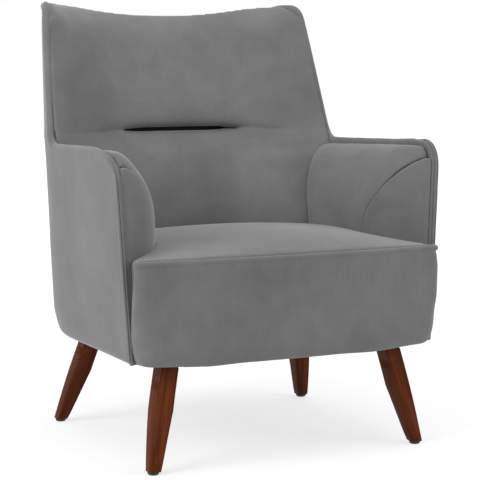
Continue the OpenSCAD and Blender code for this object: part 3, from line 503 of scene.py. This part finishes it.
# The slit between the back pads is shorter and more open than the solids'.
backSlit = {"seam": 0.6506, "reach": (0.6, 0.7), "under": (0.625, 0.642), "over": (0.656, 0.69),
            "shutFrom": (0.132, 0.162), "shutTo": (0.15, 0.21), "wide": (0.09, 0.132),
            "lower": 0.006, "upper": 0.002, "wider": 0.002}
# The pads' top corners fill the wings'. Their rear stays on a plane that slants with the wing.
padCorner = {"far": (0.24, 0.305), "high": (0.86, 0.925), "out": 0.003, "forward": 0.024,
             "slant": 2.1, "middle": 0.3, "rear": (0.255, 0.3)}


def shapeBack(obj):
    slit, pad = backSlit, padCorner

    def moved(p):
        far = abs(p.x)
        shut = smoothStep(far, *slit["shutFrom"]) * (1 - smoothStep(far, *slit["shutTo"]))
        wide = slit["wider"] * (1 - smoothStep(far, *slit["wide"]))
        q = p.copy()
        if slit["reach"][0] < p.z <= slit["seam"]:
            q.z += smoothStep(p.z, *slit["under"]) * (slit["lower"] * shut - wide)
        elif slit["seam"] < p.z < slit["reach"][1]:
            q.z -= (1 - smoothStep(p.z, *slit["over"])) * (slit["upper"] * shut - wide)
        q = raiseTop(q)
        corner = smoothStep(far, *pad["far"]) * smoothStep(p.z, *pad["high"])
        q.x += sideOf(p) * pad["out"] * corner
        rear = smoothStep(p.y + pad["slant"] * (far - pad["middle"]), *pad["rear"])
        q.y -= pad["forward"] * corner * (1 - rear)
        return q
    moveVertices(obj, moved)


# The seat front's ends are tucked in towards the rolls, and the cushion's a little with them.
seatTuck = {"inward": 0.029, "front": (-0.355, -0.315), "high": (0.262, 0.42), "far": (0.2, 0.3),
            "behind": (-0.3, -0.27), "cushionShare": 0.2}
# Its bottom corners stand out, its bottom edge hangs a little, and its ends reach back to the arms' fronts.
seatCorner = {"out": 0.008, "down": 0.002, "high": (0.225, 0.3), "far": (0.25, 0.33),
              "front": (-0.345, -0.32), "rearLess": 0.75}
seatBottom = {"down": 0.0035, "far": (0.1, 0.2), "high": (0.215, 0.26)}
seatRear = {"back": 0.0085, "front": (-0.335, -0.318), "end": -0.31, "far": (0.27, 0.3),
            "high": (0.35, 0.39)}
# The right end of the border bulges.
seatBulge = {"out": 0.004, "far": (0.3, 0.34), "front": (-0.345, -0.315), "low": (0.27, 0.32),
             "high": (0.375, 0.412)}


def tuckEnds(obj):
    held = seatTuck["cushionShare"] if obj.name == "seatCushion" else 1

    def moved(p):
        far = abs(p.x)
        curved = 1 - math.sqrt(1 - portion(p.y, *seatTuck["front"]) ** 2)
        inward = held * seatTuck["inward"] * curved * smoothStep(far, *seatTuck["far"])
        inward *= portion(p.z, *seatTuck["high"]) * (1 - smoothStep(p.y, *seatTuck["behind"]))
        corner = (1 - smoothStep(p.z, *seatCorner["high"])) * smoothStep(far, *seatCorner["far"])
        corner *= 1 - seatCorner["rearLess"] * smoothStep(p.y, *seatCorner["front"])
        bottom = smoothStep(far, *seatBottom["far"]) * (1 - smoothStep(p.z, *seatBottom["high"]))
        down = seatCorner["down"] * corner + seatBottom["down"] * bottom
        back = seatRear["back"] * smoothStep(p.y, *seatRear["front"]) * smoothStep(far, *seatRear["far"])
        back *= (p.y < seatRear["end"]) * (1 - smoothStep(p.z, *seatRear["high"]))
        bulge = seatBulge["out"] * smoothStep(p.x, *seatBulge["far"])
        bulge *= 1 - smoothStep(p.y, *seatBulge["front"])
        bulge *= smoothStep(p.z, *seatBulge["low"]) * (1 - smoothStep(p.z, *seatBulge["high"]))
        out = sideOf(p) * (seatCorner["out"] * corner - inward) + bulge
        return Vector((p.x + out, p.y + back, p.z - down))
    moveVertices(obj, moved)


# The soft pieces. "edge" is the radius that their seams are rounded to, and "grow" is how far they swell.
softUsual = {"smooth": 3, "grow": 0.0006, "finish": velvetUpright}
outerCover = {"voxel": 0.0025, "edge": 0.001, "smooth": 8, "fill": fillCorner, "shape": shapeArmFront}
outsideBack = {"voxel": 0.004, "edge": 0.004, "shape": shapeRear}
armPad = {"voxel": 0.003, "edge": 0.003, "grow": 0.001, "shape": shapePadFront}
armFacing = {"voxel": 0.002, "edge": 0.002, "grow": 0.0019, "shape": shapeFacing}
seatCushion = {"voxel": 0.004, "edge": 0.004, "finish": velvetSeat, "shape": tuckEnds}
seatFrontCover = {"voxel": 0.0025, "edge": 0.003, "smooth": 6, "shape": tuckEnds}
insideBack = {"voxel": 0.003, "edge": 0.003, "grow": 0.001, "before": shapeBack}


# A padded piece from one or more nodes: rounded, joined, remeshed, smoothed, shaped and swollen.
def makeSoft(name, ownValues, *nodes):
    piece = {**softUsual, **ownValues}
    obj = roundedCopy(nodes[0], name, piece["edge"])
    if "fill" in piece:
        piece["fill"](obj)
    for node in nodes[1:]:
        joinNode(obj, node, piece["edge"])
    if "before" in piece:
        piece["before"](obj)
    applyModifier(obj, "REMESH", mode="VOXEL", voxel_size=piece["voxel"], use_smooth_shade=True)
    applyModifier(obj, "SMOOTH", factor=0.5, iterations=piece["smooth"])
    if "shape" in piece:
        piece["shape"](obj)
        applyModifier(obj, "SMOOTH", factor=0.5, iterations=1)
    applyModifier(obj, "DISPLACE", strength=piece["grow"], mid_level=0)
    bpy.ops.object.shade_smooth()
    obj.data.materials.clear()
    obj.data.materials.append(piece["finish"])
    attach(obj, "root")
    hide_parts(*nodes)
    report(name)


for side in ("left", "right"):
    makeSoft(side + "OuterCover", outerCover, side + "_outer_side", side + "_rim")
makeSoft("outsideBack", outsideBack, "outside_back")
for side in ("left", "right"):
    makeSoft(side + "ArmPad", armPad, side + "_arm_pad")
for side in ("left", "right"):
    makeSoft(side + "ArmFacing", armFacing, side + "_arm_facing")
makeSoft("seatCushion", seatCushion, "seat_cushion")
makeSoft("seatFrontCover", seatFrontCover, "seat_front_border", "seat_welt")
makeSoft("insideBack", insideBack, "inside_back_lower", "inside_back_upper")
makeArmCord("leftArmCord", -1)
makeArmCord("rightArmCord", 1)

# The legs: straight on the outer sides, tapered on the inner ones up to a height, with rounded corners.
legWood = {"finish": walnutStain, "glide": 0.006, "top": 0.2069, "taper": 0.122, "taperBow": 0.85,
           "footWidth": 0.023, "topWidth": 0.038, "swell": 0.0025, "ridge": 0.006, "footEdge": 0.001,
           "levels": (0.02, 0.04, 0.06, 0.08, 0.095, 0.108, 0.116, 0.122, 0.128, 0.14, 0.16, 0.18),
           "grainShift": (0.17, 0.31)}
legPlaces = {
    "frontLeft": {"node": "front_left", "foot": (-0.299, -0.326), "top": (-0.253, -0.286), "out": (-1, -1)},
    "frontRight": {"node": "front_right", "foot": (0.299, -0.326), "top": (0.253, -0.286), "out": (1, -1)},
    "rearLeft": {"node": "rear_left", "foot": (-0.3045, 0.2), "top": (-0.253, 0.128), "out": (-1, 1)},
    "rearRight": {"node": "rear_right", "foot": (0.3045, 0.2), "top": (0.253, 0.128), "out": (1, 1)},
}
nearly = 0.00001  # metres within which two heights are the same


# Where the leg's middle is at a height, and how wide it is there.
def legSection(place, height):
    wood = legWood
    up = (height - wood["glide"]) / (wood["top"] - wood["glide"])
    taper = min((height - wood["glide"]) / (wood["taper"] - wood["glide"]), 1) ** wood["taperBow"]
    width = wood["footWidth"] + (wood["topWidth"] - wood["footWidth"]) * taper
    middle = []
    for foot, top, out in zip(place["foot"], place["top"], place["out"]):
        edge = (foot + out * wood["footWidth"] / 2) * (1 - up) + (top + out * wood["topWidth"] / 2) * up
        middle.append(edge - out * width / 2)
    middle[0] += place["out"][0] * wood["swell"] * math.sin(math.pi * up)
    return middle, width


def selectWhere(obj, kind, test):
    bm = bmesh.from_edit_mesh(obj.data)
    bpy.ops.mesh.select_all(action="DESELECT")
    for part in getattr(bm, kind):
        part.select = test(part)
    bm.select_flush_mode()
    bmesh.update_edit_mesh(obj.data)


def finishHard(obj, finish):
    pick(obj)
    bpy.ops.object.shade_smooth_by_angle(angle=math.radians(40))
    obj.data.materials.append(finish)


def makeLeg(name, place):
    wood = legWood
    low, high = wood["glide"], wood["top"]
    bpy.ops.object.select_all(action="DESELECT")
    bpy.ops.mesh.primitive_cube_add(size=1, location=(0, 0, (low + high) / 2), scale=(1, 1, high - low))
    obj = bpy.context.object
    obj.name = obj.data.name = name + "Leg"
    bpy.ops.object.transform_apply(location=True, rotation=False, scale=True)
    editMesh(obj)
    for level in wood["levels"]:
        bpy.ops.mesh.select_all(action="SELECT")
        bpy.ops.mesh.bisect(plane_co=(0, 0, level), plane_no=(0, 0, 1))
    for level in (low, *wood["levels"], high):
        middle, width = legSection(place, level)
        selectWhere(obj, "verts", lambda v: abs(v.co.z - level) < nearly)
        bpy.ops.transform.resize(value=(width, width, 1), center_override=(0, 0, level))
        bpy.ops.transform.translate(value=(middle[0], middle[1], 0))
    selectWhere(obj, "edges", lambda e: abs(e.verts[0].co.z - e.verts[1].co.z) > 0.001)
    bpy.ops.mesh.bevel(offset=wood["ridge"], segments=5, profile=0.5, affect="EDGES")
    selectWhere(obj, "edges", lambda e: all(abs(v.co.z - low) < nearly for v in e.verts))
    bpy.ops.mesh.bevel(offset=wood["footEdge"], segments=2, affect="EDGES")
    objectMode()
    shift = sum(step * out for step, out in zip(wood["grainShift"], place["out"]))  # each leg has its own grain
    grain = obj.data.attributes.new("grain", "FLOAT_VECTOR", "POINT")
    for vertex, value in zip(obj.data.vertices, grain.data):
        middle, _ = legSection(place, min(max(vertex.co.z, low), high))
        x, y, z = vertex.co
        value.vector = (x - middle[0] + shift, y - middle[1] + shift, z + shift)
    finishHard(obj, wood["finish"])
    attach(obj, "root")
    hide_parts(place["node"] + "_leg")


glideShape = {"finish": blackPlastic, "radius": 0.012, "height": 0.0062, "edge": 0.005, "lip": 0.0005}


def makeGlide(name, place):
    shape = glideShape
    bpy.ops.object.select_all(action="DESELECT")
    bpy.ops.mesh.primitive_cylinder_add(vertices=48, radius=shape["radius"], depth=shape["height"],
                                        location=(*place["foot"], shape["height"] / 2))
    obj = bpy.context.object
    obj.name = obj.data.name = name + "Glide"
    bpy.ops.object.transform_apply(location=True, rotation=False, scale=False)
    editMesh(obj)
    selectWhere(obj, "edges", lambda e: all(v.co.z < nearly for v in e.verts))
    bpy.ops.mesh.bevel(offset=shape["edge"], segments=6, affect="EDGES")
    selectWhere(obj, "edges", lambda e: all(v.co.z > shape["height"] - nearly for v in e.verts))
    bpy.ops.mesh.bevel(offset=shape["lip"], segments=2, affect="EDGES")
    objectMode()
    finishHard(obj, shape["finish"])
    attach(obj, "root")
    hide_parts(place["node"] + "_glide")


for name, place in legPlaces.items():
    makeLeg(name, place)
    makeGlide(name, place)
report("legs and glides made")

# Finishes of the CAD nodes that keep their shape, by a word of the name. The last word that fits counts.
nodeFinishes = {
    "side_frame": plywood, "post": beech, "rail": beech, "block": beech, "webbing": lining, "dust": lining,
    "springs": springSteel, "clips": springSteel, "leg": walnutStain, "glide": blackPlastic,
    "bolts": springSteel, "washers": springSteel, "nuts": springSteel, "nails": springSteel,
}
for node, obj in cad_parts.items():
    finish = next((nodeFinishes[word] for word in reversed(nodeFinishes) if word in node), None)
    if finish:
        obj.data.materials.clear()
        obj.data.materials.append(finish)
report("frame finished")

# The studio: a pale floor that fades to white, three soft lamps and a white surround.
floorLook = {"size": 24, "colour": 0.86, "roughness": 0.9, "specular": 0.1, "shade": 0.42, "white": 0.7,
             "rise": (1.2, 3.2)}
lamps = {"keyLamp": {"place": (-3.3, -0.8, 2.3), "size": 1.8, "power": 70.0},
         "topLamp": {"place": (0.3, 0.2, 3.4), "size": 2.4, "power": 32.0},
         "rightLamp": {"place": (2.6, -2.6, 1.7), "size": 1.8, "power": 34.0}}
lampAim = Vector((0, 0, 0.45))
surround = 0.46


def grey(level):
    return (level, level, level, 1)


# 1 for the rays that see the background: from the camera, off gloss and through glass.
def seenRay(nodes, links):
    ray = nodes.new("ShaderNodeLightPath")
    either = ray.outputs["Is Camera Ray"]
    for kind in ("Is Glossy Ray", "Is Transmission Ray"):
        most = nodes.new("ShaderNodeMath")
        most.operation = "MAXIMUM"
        links.new(either, most.inputs[0])
        links.new(ray.outputs[kind], most.inputs[1])
        either = most.outputs[0]
    return either


# To those rays the floor is a matt grey that takes the shadow, plus a glow that rises to white with distance.
def addFloor(look):
    bpy.ops.mesh.primitive_plane_add(size=look["size"], location=(0, 0, 0))
    floor = bpy.context.object
    floor.name = "floor"
    material, nodes, links, shader = newMaterial("floorWhite")
    shader.inputs["Base Color"].default_value = grey(look["colour"])
    shader.inputs["Roughness"].default_value = look["roughness"]
    shader.inputs["Specular IOR Level"].default_value = look["specular"]
    seen = nodes.new("ShaderNodeAddShader")
    matt = nodes.new("ShaderNodeBsdfDiffuse")
    matt.inputs["Color"].default_value = grey(look["shade"])
    white = nodes.new("ShaderNodeEmission")
    place = nodes.new("ShaderNodeTexCoord").outputs["Object"]
    away = nodes.new("ShaderNodeVectorMath")
    away.operation = "LENGTH"
    links.new(place, away.inputs[0])
    rising = mapRange(nodes, links, away.outputs["Value"], look["white"], 1, *look["rise"])
    links.new(rising, white.inputs["Strength"])
    links.new(matt.outputs["BSDF"], seen.inputs[0])
    links.new(white.outputs["Emission"], seen.inputs[1])
    mix = nodes.new("ShaderNodeMixShader")
    links.new(seenRay(nodes, links), mix.inputs["Fac"])
    links.new(shader.outputs["BSDF"], mix.inputs[1])
    links.new(seen.outputs["Shader"], mix.inputs[2])
    links.new(mix.outputs["Shader"], nodes["Material Output"].inputs["Surface"])
    floor.data.materials.append(material)


def addLamp(name, place, size, power):
    bpy.ops.object.light_add(type="AREA", location=place)
    lamp = bpy.context.object
    lamp.name = name
    lamp.data.size = size
    lamp.data.energy = power
    lamp.rotation_euler = (lampAim - Vector(place)).to_track_quat("-Z", "Y").to_euler()


def addWorld(strength):
    world = bpy.data.worlds.new("studioWorld")
    bpy.context.scene.world = world
    world.use_nodes = True
    nodes, links = world.node_tree.nodes, world.node_tree.links
    dim = nodes["Background"]
    dim.inputs["Color"].default_value = grey(1)
    dim.inputs["Strength"].default_value = strength
    white = nodes.new("ShaderNodeBackground")
    white.inputs["Color"].default_value = grey(1)
    white.inputs["Strength"].default_value = 1.0
    mix = nodes.new("ShaderNodeMixShader")
    links.new(seenRay(nodes, links), mix.inputs["Fac"])
    links.new(dim.outputs["Background"], mix.inputs[1])
    links.new(white.outputs["Background"], mix.inputs[2])
    links.new(mix.outputs["Shader"], nodes["World Output"].inputs["Surface"])


addFloor(floorLook)
for name, lamp in lamps.items():
    addLamp(name, **lamp)
addWorld(surround)
bpy.context.scene.view_settings.view_transform = "Standard"
report("studio set")
